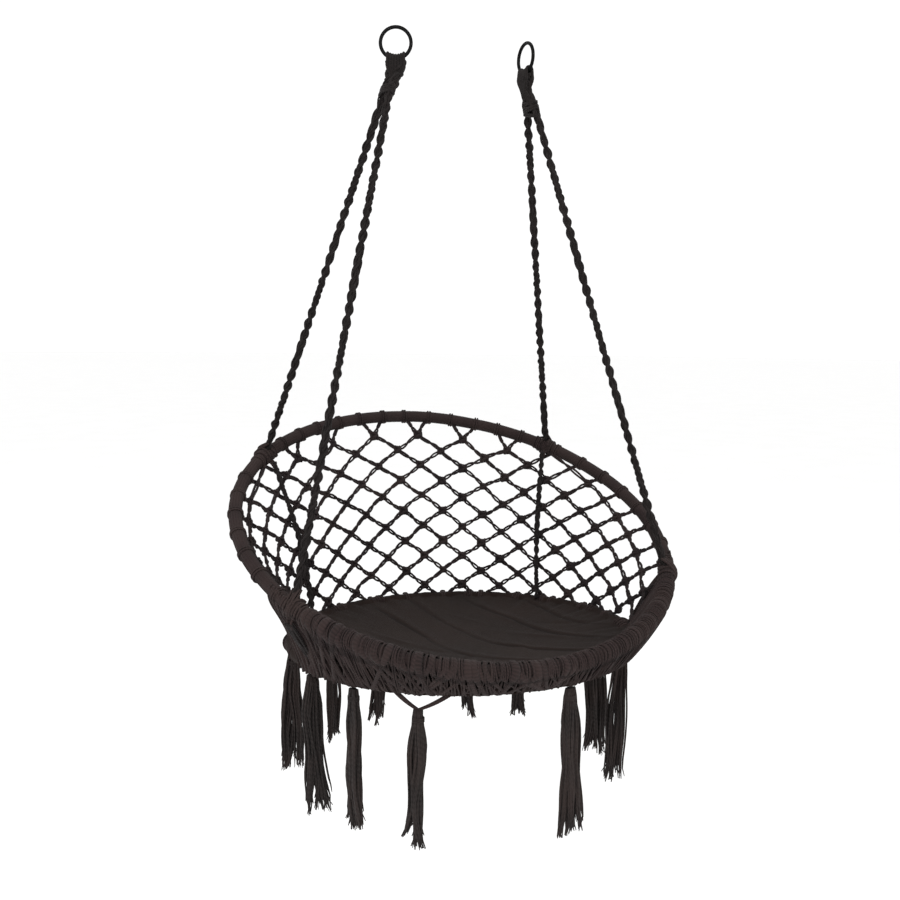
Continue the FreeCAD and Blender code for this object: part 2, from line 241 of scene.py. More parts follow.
def make_piece(name, points, faces, material, lay=None, tone=None):
    mesh = bpy.data.meshes.new(name)
    mesh.from_pydata(points.tolist(), [], faces)
    if lay is not None:
        mesh.attributes.new("lay", "FLOAT_VECTOR", "POINT").data.foreach_set("vector", lay.ravel())
        mesh.attributes.new("tone", "FLOAT", "POINT").data.foreach_set("value", tone)
    mesh.shade_smooth()
    mesh.materials.append(material)
    piece = add_object(name, mesh)
    return piece


def fix(piece, body, *nodes):
    """Makes a piece ride this body and replace these CAD nodes."""
    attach(piece, body)
    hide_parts(*nodes)


def curve_through(points, number):
    """A smooth line of evenly spaced points with these as its NURBS control points."""
    data = bpy.data.curves.new("route", "CURVE")
    data.dimensions = "3D"
    spline = data.splines.new("NURBS")
    spline.points.add(len(points) - 1)
    for control, point in zip(spline.points, points):
        control.co = (*point, 1)
    spline.order_u = 3
    spline.use_endpoint_u = True
    data.resolution_u = 24
    route = add_object("route", data)
    bpy.context.view_layer.update()
    mesh = bpy.data.meshes.new_from_object(route)
    line = np.array([vertex.co for vertex in mesh.vertices])
    bpy.data.objects.remove(route)
    bpy.data.meshes.remove(mesh)
    travel = travel_along(line)
    wanted = np.linspace(0, travel[-1], number)
    return np.stack([np.interp(wanted, travel, line[:, axis]) for axis in range(3)], axis=1)


def wander(number, waves, size):
    """A smooth random offset in three directions, zero at both ends."""
    share = np.linspace(0, 1, number)
    offset = np.zeros((number, 3))
    for wave in range(1, waves + 1):
        swing = rng.normal(0, size / wave, 3)
        offset += np.sin(math.pi * wave * share)[:, None] * swing
    return offset


# ---- materials


class Nodes:
    """A material's node tree, built by short calls."""

    def __init__(self, name):
        self.material = bpy.data.materials.new(name)
        self.material.use_nodes = True
        self.tree = self.material.node_tree
        self.shader = self.tree.nodes["Principled BSDF"]

    def put(self, kind, **settings):
        node = self.tree.nodes.new(kind)
        for key, value in settings.items():
            setattr(node, key, value)
        return node

    def plug(self, socket, value):
        if isinstance(value, bpy.types.NodeSocket):
            self.tree.links.new(value, socket)
        else:
            socket.default_value = value

    def math(self, operation, first, second=0.0, third=0.0):
        node = self.put("ShaderNodeMath", operation=operation)
        for socket, value in zip(node.inputs, (first, second, third)):
            self.plug(socket, value)
        return node.outputs[0]

    def fit(self, value, scale, offset):
        return self.math("MULTIPLY_ADD", value, scale, offset)

    def noise(self, scale, detail):
        node = self.put("ShaderNodeTexNoise")
        node.inputs["Scale"].default_value = scale
        node.inputs["Detail"].default_value = detail
        self.plug(node.inputs["Vector"], self.put("ShaderNodeTexCoord").outputs["Object"])
        return node.outputs[0]

    def parts(self, vector):
        node = self.put("ShaderNodeSeparateXYZ")
        self.plug(node.inputs[0], vector)
        return node.outputs

    def attribute(self, name, output):
        return self.put("ShaderNodeAttribute", attribute_name=name).outputs[output]

    def mix(self, share, first, second):
        node = self.put("ShaderNodeMix", data_type="RGBA")
        colours = [socket for socket in node.inputs if socket.type == "RGBA"]
        self.plug(node.inputs[0], share)
        self.plug(colours[0], first)
        self.plug(colours[1], second)
        return next(socket for socket in node.outputs if socket.type == "RGBA")

    def bump(self, height, distance):
        node = self.put("ShaderNodeBump")
        node.inputs["Distance"].default_value = distance
        self.plug(node.inputs["Height"], height)
        self.plug(self.shader.inputs["Normal"], node.outputs["Normal"])

    def set(self, **values):
        for name, value in values.items():
            self.plug(self.shader.inputs[name.replace("_", " ")], value)


CHARCOAL = (0.0235, 0.0190, 0.0180, 1)
# the cotton's low colour: painted shade in the ply grooves, and the low end of its random tone
SHADOW = (0.0075, 0.0062, 0.0058, 1)
WARM = (0.0310, 0.0212, 0.0190, 1)
THREAD_PITCH = 1.5 * MM  # of the seat's weave, both ways


def cotton(name, ply_pitch, fuzz=1400.0, light=CHARCOAL, patch=WARM):
    """Twisted cotton cord: slanting plies along each strand with painted shade in the grooves
    between them, fibres, and uneven dye.
    """
    nodes = Nodes(name)
    along, cosine, sine = nodes.parts(nodes.attribute("lay", "Vector"))
    twist = nodes.math("MULTIPLY", along, 2 * math.pi / ply_pitch)
    part = nodes.math("MULTIPLY", nodes.math("COSINE", twist), sine)
    ply = nodes.fit(nodes.fit(nodes.math("SINE", twist), cosine, part), 0.5, 0.5)
    fibres = nodes.noise(fuzz, 3.0)
    patches = nodes.noise(14.0, 2.0)
    tone = nodes.attribute("tone", "Fac")
    # Painted shade: the colour falls towards SHADOW in the grooves between the plies; fibre noise
    # and each strand's tone vary it at random.
    shade = nodes.fit(ply, 0.45, nodes.math("MULTIPLY", fibres, 0.5))
    shade = nodes.fit(tone, 0.3, shade)
    base = nodes.mix(shade, SHADOW, light)
    spread = nodes.fit(patches, 3.0, -1.1)
    base = nodes.mix(nodes.math("MULTIPLY", spread, 0.55), base, patch)
    height = nodes.fit(fibres, 0.5, nodes.math("POWER", ply, 0.6))
    nodes.bump(height, 0.5 * MM)
    nodes.set(Base_Color=base, Sheen_Weight=0.03, Sheen_Roughness=0.6)
    nodes.set(Roughness=nodes.fit(fibres, 0.2, 0.78), Specular_IOR_Level=0.07)
    return nodes.material


def canvas():
    """The seat: a close plain weave with painted shade where its threads dip and in its folds, and
    faint patches of a deeper tone at random.
    """
    nodes = Nodes("seat_canvas")
    place = nodes.parts(nodes.put("ShaderNodeTexCoord").outputs["Object"])
    threads = 2 * math.pi / THREAD_PITCH
    warp = nodes.math("SINE", nodes.math("MULTIPLY", place[0], threads))
    weft = nodes.math("SINE", nodes.math("MULTIPLY", place[1], threads))
    weave = nodes.fit(nodes.math("MULTIPLY", warp, weft), 0.5, 0.5)
    slubs = nodes.noise(420.0, 3.0)
    patches = nodes.noise(7.0, 3.0)
    fold = nodes.attribute("fold", "Fac")
    # Painted shade: the colour deepens where the weave dips between threads; the slub noise varies
    # it at random.
    shade = nodes.fit(weave, 0.35, nodes.math("MULTIPLY", slubs, 0.65))
    base = nodes.mix(shade, (0.0085, 0.0046, 0.0036, 1), (0.0180, 0.0105, 0.0082, 1))
    spread = nodes.fit(patches, 3.2, -1.2)
    base = nodes.mix(nodes.math("MULTIPLY", spread, 0.45), base, (0.0070, 0.0048, 0.0040, 1))
    # Painted shade in the folds: the fold mask deepens the colour down the seams' grooves, in the
    # gathers' troughs and in the puckers over the hoop.
    base = nodes.mix(fold, base, (0.006, 0.005, 0.0045, 1))
    nodes.bump(nodes.fit(slubs, 0.6, weave), 0.25 * MM)
    nodes.set(Base_Color=base, Sheen_Weight=0.02, Sheen_Roughness=0.6, Specular_IOR_Level=0.06)
    nodes.set(Roughness=nodes.fit(slubs, 0.2, 0.8))
    return nodes.material


def painted_steel():
    """Black painted wire, slightly rubbed."""
    nodes = Nodes("ring_steel")
    rubbed = nodes.noise(160.0, 4.0)
    nodes.set(Base_Color=nodes.mix(rubbed, (0.0015, 0.0015, 0.0016, 1), (0.004, 0.0038, 0.0038, 1)))
    nodes.set(Roughness=nodes.fit(rubbed, 0.3, 0.3), Specular_IOR_Level=0.06)
    nodes.bump(rubbed, 0.1 * MM)
    return nodes.material


def pale_floor():
    nodes = Nodes("studio_floor")
    grain = nodes.noise(3.0, 3.0)
    base = nodes.mix(grain, (0.90, 0.90, 0.895, 1), (0.94, 0.94, 0.94, 1))
    nodes.set(Base_Color=base, Roughness=0.9, Specular_IOR_Level=0.1)
    return nodes.material


ROPE = cotton(
    "plaited_rope",
    7 * MM,
    light=(0.0115, 0.0093, 0.0092, 1),
    patch=(0.0175, 0.0138, 0.0132, 1),
)
WRAP = cotton("wrap_cord", 5 * MM, light=(0.0275, 0.0175, 0.0170, 1))
NET = cotton("net_cord", 5 * MM, light=(0.0155, 0.0108, 0.0122, 1))
YARN = cotton("tassel_yarn", 9 * MM, fuzz=900.0)
CANVAS = canvas()
STEEL = painted_steel()


# ---- camera, lights and stage

CAMERA_PLACE = (-0.68165, -1.66659, -0.50006)
CAMERA_RIGHT = (0.92896, -0.37004, 0.00969)
CAMERA_UP = (0.03371, 0.11062, 0.99330)
CAMERA_LENS, SENSOR_WIDTH = 40.6, 36
FLOOR_DROP = 0.45  # of the floor below the longest tassel
FLOOR_RADIUS = 60
SKY_STRENGTH = 1.08
LIT_PLACE = (0, 0, -0.9)  # what both lamps face, about the middle of the chair


def make_camera():
    data = bpy.data.cameras.new("camera")
    data.lens, data.sensor_width = CAMERA_LENS, SENSOR_WIDTH
    camera = add_object("camera", data)
    right, up = Vector(CAMERA_RIGHT), Vector(CAMERA_UP)
    turn = Matrix((right, up, right.cross(up))).transposed().to_4x4()
    camera.matrix_world = Matrix.Translation(CAMERA_PLACE) @ turn
    bpy.context.scene.camera = camera


def make_light(name, place, width, power):
    data = bpy.data.lights.new(name, "AREA")
    data.shape, data.size, data.energy = "DISK", width, power
    light = add_object(name, data)
    light.location = place
    ahead = Vector(LIT_PLACE) - Vector(place)
    light.rotation_euler = ahead.to_track_quat("-Z", "Y").to_euler()


def make_stage():
    drop = cad_box[0][2] - FLOOR_DROP
    mesh = bpy.data.meshes.new("floor")
    rim = [
        (FLOOR_RADIUS * math.cos(turn), FLOOR_RADIUS * math.sin(turn), drop)
        for turn in full_turn(96)
    ]
    mesh.from_pydata(rim, [], [list(range(len(rim)))])
    mesh.materials.append(pale_floor())
    add_object("floor", mesh)
    world = bpy.data.worlds.new("studio")
    world.use_nodes = True
    background = world.node_tree.nodes["Background"]
    background.inputs["Color"].default_value = (1, 1, 1, 1)
    background.inputs["Strength"].default_value = SKY_STRENGTH
    bpy.context.scene.world = world
    bpy.context.scene.view_settings.view_transform = "Standard"
    make_light("key", (-1.9, -2.4, 0.9), 1.6, 70)
    make_light("fill", (2.4, -1.4, 0.2), 1.8, 25)


make_camera()
make_stage()


# ---- plaited ropes

ROPE_WIDTH = 16 * MM
PLAIT_PITCH = 68 * MM  # of one bundle's way across and back
BUNDLE_CORD = 1.8 * MM
BUNDLE_TWIST = 110 * MM  # of rope for one turn of a bundle's three cords
ROPE_TURNS = 1.6  # of the plait's plane, down a whole rope
ROPE_POINTS = 380
UNEVEN_PLACES = 14


def uneven(travel, low, high):
    """A random value that changes slowly down a line."""
    places = np.linspace(0, travel[-1], UNEVEN_PLACES)
    return np.interp(travel, places, rng.uniform(low, high, UNEVEN_PLACES))


def plait(strands, line, width, pitch, cord, plane, turns):
    """Three bundles of three cords round a core, plaited down a line, in a plane that turns."""
    side, front = square_to(np.gradient(line, axis=0), plane)
    travel = travel_along(line)
    slack = uneven(travel, 0.86, 1.1)
    stretch = uneven(travel, -0.35, 0.35)
    lean = turns * 2 * math.pi * travel / travel[-1] + rng.uniform(0, math.pi)
    wide = np.cos(lean)[:, None] * side + np.sin(lean)[:, None] * front
    deep = np.cos(lean)[:, None] * front - np.sin(lean)[:, None] * side
    bundle = 2.155 * cord
    reach, rise = 0.92 * (width / 2 - bundle), 0.8 * bundle
    strands.add(line, 1.5 * cord, 8, across=wide)
    for number in range(3):
        phase = 2 * math.pi * (travel / pitch + number / 3) + stretch
        middle = line + (reach * slack * np.sin(phase))[:, None] * wide
        middle = middle + (rise * np.sin(2 * phase))[:, None] * deep
        for cords in range(3):
            turn = 2 * math.pi * (cords / 3 + travel / BUNDLE_TWIST) + number
            offset = np.cos(turn)[:, None] * wide + np.sin(turn)[:, None] * deep
            place = middle + 1.16 * cord * offset
            place = place + rng.normal(0, 0.05 * cord, 3)
            strands.add(place, cord * rng.uniform(0.92, 1.06), across=wide)


for side in SIDES:
    for end in ("front", "rear"):
        node = f"rope_{end}_{side}"
        top, foot = ends_of(node)
        line = curve_through([top, (top + foot) / 2, foot], ROPE_POINTS)
        strands = Strands()
        plait(strands, line, ROPE_WIDTH, PLAIT_PITCH, BUNDLE_CORD, SEAT.across, ROPE_TURNS)
        piece = strands.piece(f"plait_{end}_{side}", ROPE, "plaited_rope")
        fix(piece, "chair_frame", node)


# ---- where the net goes

COLUMN = 7.5  # degrees between neighbouring columns of knots, which alternate by row
LAST_COLUMN = 16
TOP_ROW = 11  # reached at the rear only
NET_PITCH = 28.5 * MM  # least distance between rows, counted up from the seat hoop
NET_TOP_ROW = 38 * MM  # top row of knots at the rear, below the back hoop's centreline
KNOT_ROOM = 26 * MM  # of a knot from the back hoop's centreline, at least
NET_BOW = 22 * MM
START_SPREAD = 4.0  # degrees from a top row knot to each of its two hitches
NET_CORD = 2.2 * MM
PANELS = 8
NET_SPAN = (60, 300)
FRONT_TIE, REAR_TIE = 60, 130
FRONT_FOOT, REAR_FOOT = 72, 125
HOOP_TIES = [sign * angle for sign in (-1, 1) for angle in (FRONT_TIE, REAR_TIE)]
FOOT_TIES = [sign * angle for sign in (-1, 1) for angle in (FRONT_FOOT, REAR_FOOT)]


def net_depth(angle):
    return np.linalg.norm(SEAT.at(angle) - BACK.at(angle))


REAR_DEPTH = net_depth(180)


def net_point(angle, depth):
    whole = net_depth(angle)
    share = depth / whole
    bow = NET_BOW * whole / REAR_DEPTH * 4 * share * (1 - share)
    return BACK.at(angle) * (1 - share) + SEAT.at(angle) * share - SEAT.outward(angle) * bow


def column_angle(column):
    return 180 + COLUMN * column


def row_depth(row, angle):
    """Depth of a row below the back hoop: rows are level, and closer at the sides."""
    whole = net_depth(angle)
    return whole - row * max(NET_PITCH, (whole - NET_TOP_ROW) / TOP_ROW)


def has_knot(row, column):
    """Rows 1, 3, 5... have knots on odd columns and rows 2, 4, 6... on even ones."""
    if not 1 <= row <= TOP_ROW or abs(column) > LAST_COLUMN or (row + column) % 2:
        return False
    return row_depth(row, column_angle(column)) > KNOT_ROOM


def hitch_angle(row, column, way):
    """Where, on the back hoop, a leg that goes up from a knot ends."""
    angle = column_angle(column)
    if row == TOP_ROW:
        return angle + way * START_SPREAD
    share = 0.0  # of the way to the next row
    while row_depth(row + share, angle + way * COLUMN * share) > 0:
        share += 0.02
    return angle + way * COLUMN * share


def is_clear(angle, others, room):
    return all(abs((angle - other + 180) % 360 - 180) > room for other in others)


def panel_of(angle):
    low, high = NET_SPAN
    return min(PANELS - 1, int((angle - low) / ((high - low) / PANELS)))


def bend_line(first, last, tops, feet):
    known = np.array([tops(first), tops(last), feet(first), feet(last)])
    middle = known.mean(0)
    system = np.column_stack([known - middle, np.ones(4)])
    slope = np.linalg.lstsq(system, np.array([0.0, 0.0, 1.0, 1.0]), rcond=0.04)[0]
    gradient, level = slope[:3], slope[3]
    step = gradient / (gradient @ gradient)
    start = middle - level * step
    return start, start + step


# ---- hoops


WINDING_PITCH = 2.9 * MM
HITCH_CORD = 1.7 * MM


def wrapped_hoop(name, hoop, node):
    """A hoop wound with fine cord, whose turns lean a little."""
    turns = int(2 * math.pi * hoop.radius / WINDING_PITCH)
    steps, sides = turns * 4, 20
    angle, around = full_turn(steps), full_turn(sides)
    ridge = np.cos(turns * angle[:, None] + around[None, :])
    lumps = sum(
        rng.uniform(0.1, 0.3)
        * np.sin(count * angle[:, None] + rng.uniform(0, 6.3) + around[None, :])
        for count in (5, 9, 17, 31)
    )
    tube = hoop.tube - 0.5 * MM + 0.4 * MM * ridge + 0.7 * MM * lumps
    outward = np.sin(angle)[:, None] * hoop.across + np.cos(angle)[:, None] * hoop.front
    reach = hoop.radius + tube * np.cos(around)
    points = hoop.centre + reach[:, :, None] * outward[:, None]
    points = points + (tube * np.sin(around))[:, :, None] * hoop.normal
    index = np.arange(steps * sides).reshape(steps, sides)
    beside = np.roll(index, -1, 1)
    faces = np.stack([index, beside, np.roll(beside, -1, 0), np.roll(index, -1, 0)], axis=2)
    slant = (turns * angle)[:, None]
    # With this lay the cotton's painted ply shade follows the winding's turns.
    lay = np.stack(np.broadcast_arrays(around * hoop.tube, np.cos(slant), np.sin(slant)), axis=2)
    tone = np.broadcast_to(0.5 + 0.3 * np.sin(41 * angle)[:, None], (steps, sides))
    points, lay = points.reshape(-1, 3), lay.reshape(-1, 3)
    faces = faces.reshape(-1, 4)[:, ::-1].tolist()
    piece = make_piece(name, points, faces, WRAP, lay, tone.ravel())
    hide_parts(node, node.replace("wrap", "tube"))
    return piece


def turn_round(hoop, angle, room, lean=0.0, first=0.0, last=360.0, number=22):
    """Points of one turn round a hoop's tube, leaning this many degrees along it."""
    turns = np.linspace(first, last, number, endpoint=last - first < 360)
    places = angle + lean * np.linspace(-0.5, 0.5, number)
    return np.array([hoop.beside(place, room, turn) for place, turn in zip(places, turns)])


def larks_head(strands, hoop, angle, tube, bar_turn):
    """A cord hitched on a hoop: two turns side by side under a short bar."""
    per_mm = math.degrees(MM / hoop.radius)
    room = tube + 0.45 * HITCH_CORD
    for way in (-1, 1):
        place = angle + way * 2.3 * per_mm * rng.uniform(0.9, 1.15)
        path = turn_round(hoop, place, room)
        strands.add(path, HITCH_CORD, closed=True, across=hoop.tangent(angle))
    bar = [
        hoop.beside(angle + share * 4.6 * per_mm, room + HITCH_CORD * lift, bar_turn)
        for share, lift in ((-1, 0.2), (-0.7, 1.2), (0, 1.45), (0.7, 1.2), (1, 0.2))
    ]
    strands.add(bar, HITCH_CORD)


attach(wrapped_hoop("back_hoop_winding", BACK, "back_hoop_wrap"), "chair_frame")
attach(wrapped_hoop("seat_hoop_winding", SEAT, "seat_hoop_wrap"), "seat")


# ---- net

EYE = 1.05 * MM  # how far each of a leg's two cords stands out where an eye opens by a knot
LEG_POINTS = 19
LEG_END = 10 * MM  # from the hoop's centreline


def leg(strands, start, stop, through, eyes=(True, True)):
    """Two cords that part into an eye beside each knot and cross once between the eyes."""
    share = np.linspace(0, 1, LEG_POINTS)
    line = start + (stop - start) * share[:, None]
    ahead = unit(stop - start)
    side = unit(np.cross(through, ahead))
    through = np.cross(ahead, side)
    eye = np.zeros(LEG_POINTS)
    for there, peak in zip(eyes, (0.27, 0.73)):
        if there:
            eye = eye + rng.uniform(0.2, 1.1) * np.exp(-(((share - peak) / 0.10) ** 2))
    room = 0.84 * NET_CORD + EYE * eye
    twist = math.pi / (1 + np.exp(-(share - 0.5) * 20)) + rng.uniform(-0.3, 0.3)
    drift = wander(LEG_POINTS, 2, 1.3 * MM)
    for way in (-1, 1):
        place = line + drift
        place = place + (way * room * np.cos(twist))[:, None] * side
        place = place + (way * room * np.sin(twist))[:, None] * through
        strands.add(place, NET_CORD * rng.uniform(0.93, 1.07), across=through)


def square_knot(strands, middle, down, along, through):
    """Two leaning loops round the crossing cords, between two side nubs."""
    scale = rng.uniform(1.0, 1.35) * MM
    for way in (-1, 1):
        tilt = way * rng.uniform(0.4, 0.7)
        wide = math.cos(tilt) * along + math.sin(tilt) * down
        centre = middle + way * 2.9 * scale * down
        loop = [
            centre + 5.4 * scale * math.cos(turn) * wide + 4.4 * scale * math.sin(turn) * through
            for turn in full_turn(12)
        ]
        strands.add(loop, 2.3 * scale, closed=True, across=unit(np.cross(wide, through)))
        nub = [
            middle + way * 5.4 * scale * along + drop * scale * down + rise * scale * through
            for drop, rise in ((-6.5, -1), (-3, 1.6), (0, 2.3), (3, 1.6), (6.5, -1))
        ]
        strands.add(nub, 2.0 * scale)
    core = [middle + drop * scale * down for drop in (-6.5, -3, 3, 6.5)]
    strands.add(core, 3.6 * scale, 8)


def leg_to_hoop(strands, hoop, angle, knot, through, is_top):
    end = hoop.at(angle)
    end = end + unit(knot - end) * LEG_END
    if is_top:
        leg(strands, end, knot, through, (False, True))
    else:
        leg(strands, knot, end, through, (True, False))


panels = [Strands() for _ in range(PANELS)]
hitch_angles, foot_angles = set(), set()
for column in range(-LAST_COLUMN, LAST_COLUMN + 1):
    angle = column_angle(column)
    panel = panels[panel_of(angle)]
    for row in range(1, TOP_ROW + 1):
        if not has_knot(row, column):
            continue
        depth = row_depth(row, angle)
        knot = net_point(angle, depth)
        along = unit(net_point(angle + 0.5, depth) - net_point(angle - 0.5, depth))
        down = unit(net_point(angle, depth + MM) - net_point(angle, depth - MM))
        through = unit(np.cross(along, down))
        square_knot(panel, knot, down, unit(along - down * (along @ down)), through)
        for other in (column - 1, column + 1):
            if abs(other) > LAST_COLUMN:
                continue
            beside = column_angle(other)
            if row == 1 and is_clear(beside, FOOT_TIES, 4):
                leg_to_hoop(panel, SEAT, beside, knot, through, False)
                foot_angles.add(beside)
            if has_knot(row + 1, other):
                leg(panel, knot, net_point(beside, row_depth(row + 1, beside)), through)
                continue
            begin = hitch_angle(row, column, other - column)
            leg_to_hoop(panel, BACK, begin, knot, through, True)
            hitch_angles.add(begin)

edges = np.linspace(*NET_SPAN, PANELS + 1)
for number, panel in enumerate(panels, 1):
    piece = panel.piece(f"net_{number}", NET, "net_cord")
    between = bend_line(edges[number - 1], edges[number], BACK.at, SEAT.at)
    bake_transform(piece)
    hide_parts(f"net_panel_{number}")

for name, body, hoop, angles, ties, tube, bar_turn in (
    ("back_hoop", "chair_frame", BACK, hitch_angles, HOOP_TIES, BACK.tube, 200),
    ("seat_hoop", "seat", SEAT, foot_angles, FOOT_TIES, SEAT_ROOM, 60),
):
    hitches = Strands()
    for angle in sorted(angles):
        if is_clear(angle, ties, 3):
            larks_head(hitches, hoop, angle, tube, bar_turn)
    fix(hitches.piece(f"{name}_hitches", WRAP, "wrap_cord"), body, f"{name}_loops")


# ---- rope ties and lower ropes

TIE_HALF, FOOT_HALF = 14 * MM, 10 * MM  # half of each binding's width along its hoop
TIE_CORD, FOOT_CORD = 2.0 * MM, 1.6 * MM
LOWER_WIDTH = 13 * MM
LOWER_PITCH = 52 * MM
LOWER_END = 22 * MM  # from the hoop's centreline
LACES = 22  # cords in each side's curtain


def binding(strands, hoop, angle, half, room, cord=2.1 * MM):
    """Cord wound side by side round a hoop, with a few turns that cross over the top."""
    spread = math.degrees(half / hoop.radius)
    count = int(2 * half / (1.9 * cord)) + 1
    for share in np.linspace(-1, 1, count):
        lean = rng.uniform(-0.4, 0.4)
        reach = room + rng.uniform(-0.3, 0.5) * MM
        path = turn_round(hoop, angle + share * spread, reach, lean)
        strands.add(path, cord, closed=True, across=hoop.tangent(angle))
    for way in (-1, 1):
        path = turn_round(hoop, angle, room + 1.7 * cord, way * 1.3 * spread, -100, 150, 16)
        strands.add(path, cord, across=hoop.tangent(angle))


def strap(strands, line, count, cord, reference, spread=1.75):
    """Cords lying side by side down a line, as a flat band."""
    side, front = square_to(np.gradient(line, axis=0), reference)
    for place in range(count):
        offset = (place - (count - 1) / 2) * spread * cord
        lift = rng.uniform(-0.5, 0.5) * cord + wander(len(line), 3, 0.5 * cord)[:, :1]
        path = line + offset * side + lift * front + wander(len(line), 3, 0.4 * cord)
        strands.add(path, cord * rng.uniform(0.92, 1.08), across=side)


def lower_route(end, side):
    """The run from a back hoop tie to a seat hoop tie, as the CAD lays it."""
    if end == "front":
        upper, lower = ends_of(f"lower_rope_front_{side}")
        return [upper, (upper + lower) / 2, lower]
    angle, foot = SIDES[side] * REAR_TIE, SIDES[side] * REAR_FOOT
    start = BACK.at(angle) - unit(SEAT.outward(angle) * 0.9 + SEAT_UP * 0.6) * LOWER_END
    stop = SEAT.at(foot) + unit(SEAT_UP * 0.8 - SEAT.outward(foot)) * LOWER_END
    middle = [
        net_point(angle + (foot - angle) * share, share * net_depth(angle))
        - SEAT.outward(angle) * 17 * MM
        for share in (0.36, 0.68)
    ]
    return [start, *middle, stop]


for side, sign in SIDES.items():
    for end, tie, foot in (("front", FRONT_TIE, FRONT_FOOT), ("rear", REAR_TIE, REAR_FOOT)):
        angle, foot = sign * tie, sign * foot
        strands = Strands()
        binding(strands, BACK, angle, TIE_HALF, BACK.tube + 2.0 * MM)
        rope_top, rope_foot = ends_of(f"rope_{end}_{side}")
        over = [
            rope_foot + unit(rope_top - rope_foot) * 14 * MM,
            *(BACK.beside(angle, 19 * MM, turn) for turn in (60, 0, -60)),
        ]
        strap(strands, curve_through(over, 20), 5, TIE_CORD, BACK.tangent(angle))
        begin, onward = lower_route(end, side)[:2]
        down = curve_through([BACK.at(angle), begin, begin + unit(onward - begin) * 10 * MM], 12)
        strap(strands, down, 4, TIE_CORD, BACK.tangent(angle), 1.5)
        piece = strands.piece(f"hoop_tie_{end}_{side}", WRAP, "wrap_cord")
        fix(piece, "chair_frame", f"tie_{end}_{side}")

        strands = Strands()
        binding(strands, SEAT, foot, FOOT_HALF, SEAT_ROOM + 0.7 * MM, FOOT_CORD)
        piece = strands.piece(f"foot_binding_{end}_{side}", WRAP, "wrap_cord")
        fix(piece, "seat", f"foot_tie_{end}_{side}")


for side, sign in SIDES.items():
    for end in ("front", "rear"):
        line = curve_through(lower_route(end, side), 40 if end == "front" else 120)
        strands = Strands()
        if end == "front":
            strap(strands, line, 7, 1.7 * MM, SEAT.tangent(sign * FRONT_TIE), 1.3)
        else:
            plane = SEAT.tangent(sign * REAR_TIE)
            plait(strands, line, LOWER_WIDTH, LOWER_PITCH, 1.35 * MM, plane, 0.6)
        piece = strands.piece(f"lower_plait_{end}_{side}", ROPE, "plaited_rope")
        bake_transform(piece)
        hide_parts(f"lower_rope_{end}_{side}")


def side_lacing(side, sign):
    """A curtain of cords from the front tie, outside the seat hoop, to the tassel heads."""
    strands = Strands()
    for number in range(LACES):
        share = number / (LACES - 1)
        high = sign * (FRONT_TIE - 5 + 13 * share + rng.uniform(-0.6, 0.6))
        low = sign * (FRONT_FOOT - 10 + 17 * share + rng.uniform(-1.5, 1.5))
        hang = SEAT.beside(low, SEAT_ROOM + rng.uniform(1, 3) * MM, -35)
        path = [
            BACK.beside(high, BACK.tube + 3 * MM, 70),
            BACK.beside(high, BACK.tube + 3.5 * MM, -10),
            (BACK.beside(high, BACK.tube, -50) + SEAT.beside(low, SEAT_ROOM, 60)) / 2
            + SEAT.tangent(low) * rng.normal(0, 3 * MM),
            SEAT.beside(low, SEAT_ROOM + rng.uniform(2, 5) * MM, 15),
            hang,
            hang - UP * rng.uniform(0, 6) * MM,
        ]
        line = curve_through(path, 30)
        line = line + wander(len(line), 3, 0.8 * MM)
        strands.add(line, 1.8 * MM * rng.uniform(0.8, 1.35))
    piece = strands.piece(f"side_lacing_{side}", WRAP, "wrap_cord")
    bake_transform(piece)


for side, sign in SIDES.items():
    side_lacing(side, sign)


# ---- rings and necks

PIVOT_DROP = -frame["joints"][0]["pos_m"][2]
RING_LOOPS = 7
NECK_TURNS = {"left": 4, "right": 7}  # of cord round both ropes, down to where they part
NECK_STEP = 3.6  # mm between those turns
NECK_DEPTH = 9.5 * MM
LOOP_CORD = 2.7 * MM
CHEEK = 5.6 * MM  # of each face of the loops from the ring's wire


def ring_loops(strands, side, along, flat, goals):
    """Cords that hang over the ring's foot, side by side, and draw in below it."""
    ring = Hoop(f"{side}_hanging_ring")
    points = vertices_of(f"{side}_hanging_ring")
    high, low = points.max(0)[2], points.min(0)[2]
    radius = (high - low) / 2 - ring.tube
    bottom = low + ring.tube
    centre = ring.centre * (1, 1, 0)
    for number in range(RING_LOOPS):
        share = number / (RING_LOOPS - 1) * 2 - 1
        turn = share * 0.55
        wire = centre + along * radius * math.sin(turn)
        wire[2] = (high + low) / 2 - radius * math.cos(turn)
        goal = goals[(number + 1) % 2]
        waist = centre + along * share * 5 * MM + UP * -(PIVOT_DROP + 8 * MM)
        for face in (-1, 1):
            cheek = flat * face * CHEEK
            path = [
                wire + UP * CHEEK,
                wire + cheek * 0.8 + UP * 4.4 * MM,
                wire + cheek,
                wire + cheek * 1.1 - UP * 8 * MM,
                centre + along * share * 15 * MM + cheek * 1.2 + UP * (bottom - 13 * MM),
                waist + cheek * 0.7,
                (waist + goal) / 2 + cheek * 0.5 + along * share * 3 * MM,
                goal + rng.normal(0, 2.5 * MM, 3),
            ]
            strands.add(curve_through(path, 34), LOOP_CORD, 7, across=along)
    for way, goal in zip((-1, 1), goals):
        path = [
            centre + along * way * 9 * MM + UP * (bottom - 2 * MM),
            centre + along * way * 7.5 * MM - UP * (PIVOT_DROP - 6 * MM),
            centre * 0.5 + goal * 0.5 + along * way * 3 * MM - UP * 0.5 * PIVOT_DROP,
            goal - UP * 6 * MM,
        ]
        line = curve_through(path, 60)
        plait(strands, line, 21 * MM, 60 * MM, 2.1 * MM, along, 0)
        plait(strands, line + flat * way * 2 * MM, 18 * MM, 48 * MM, 2.0 * MM, along, 0)
    return centre


